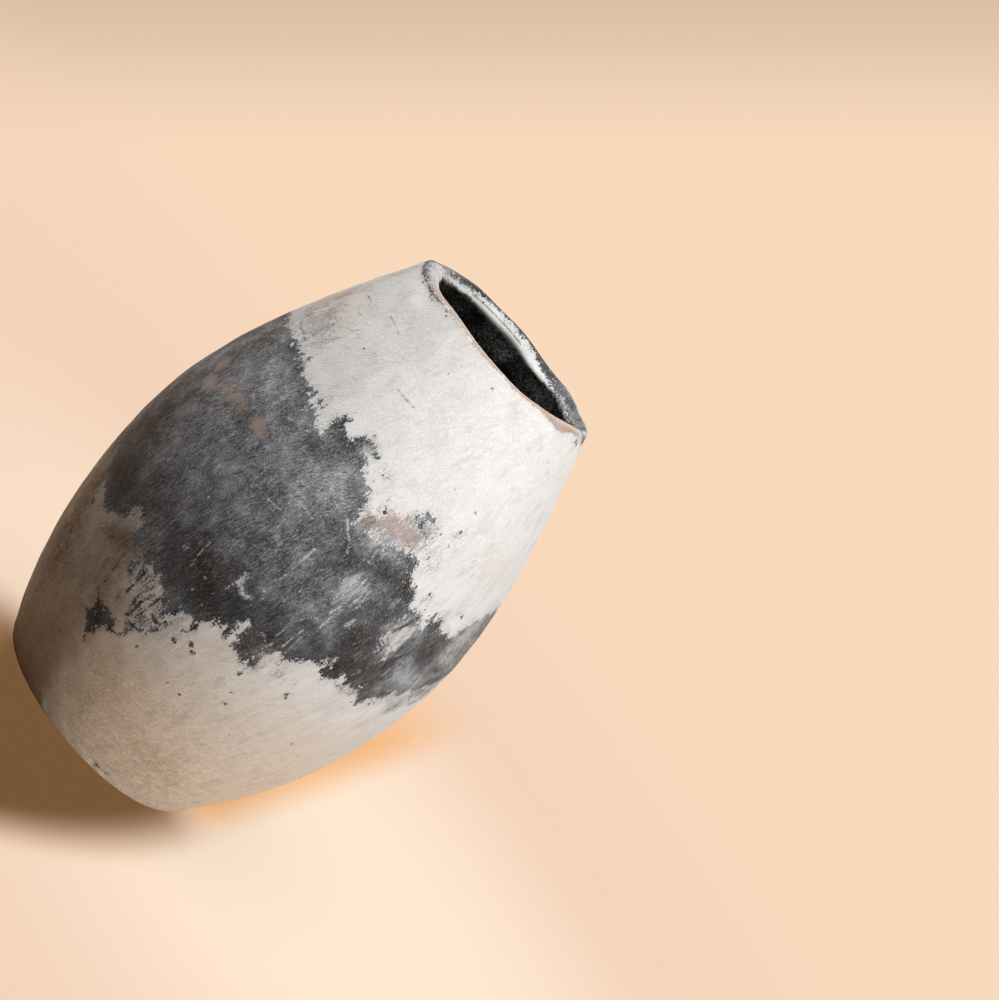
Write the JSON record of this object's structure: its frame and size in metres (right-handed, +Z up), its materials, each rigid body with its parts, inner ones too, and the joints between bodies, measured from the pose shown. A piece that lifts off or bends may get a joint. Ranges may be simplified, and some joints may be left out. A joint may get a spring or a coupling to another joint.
{
  "type": "vase",
  "caption": "Hand-built barrel-shaped ceramic vase with a flat base, full belly, narrowed mouth and rounded lip; burnished pale slip with smoke marks, to hold stems or dry goods.",
  "frame": {"origin": "centre of the flat underside, on the vase's axis", "axes": "+Z up along the vase's axis, out of the mouth; -Y towards the side that the picture shows"},
  "size_m": [0.185, 0.185, 0.26],
  "materials": {
    "burnished_slip": "pale off-white to buff slip, burnished to a low sheen, with charcoal-grey smoke clouds from the firing",
    "base_clay": "dry buff earthenware, scuffed and chipped along the heel",
    "sooted_clay": "unslipped clay inside the vase, blackened by smoke and matt"
  },
  "bodies": {
    "root": {"base_slab": "base_clay", "base_seam_coil": "sooted_clay", "wall_coil_1": "burnished_slip", "wall_coil_2": "burnished_slip", "wall_coil_3": "burnished_slip", "wall_coil_4": "burnished_slip", "wall_coil_5": "burnished_slip", "wall_coil_6": "burnished_slip", "wall_coil_7": "burnished_slip", "wall_coil_8": "burnished_slip", "wall_coil_9": "burnished_slip", "rim_coil": "burnished_slip"}
  },
  "joints": []
}
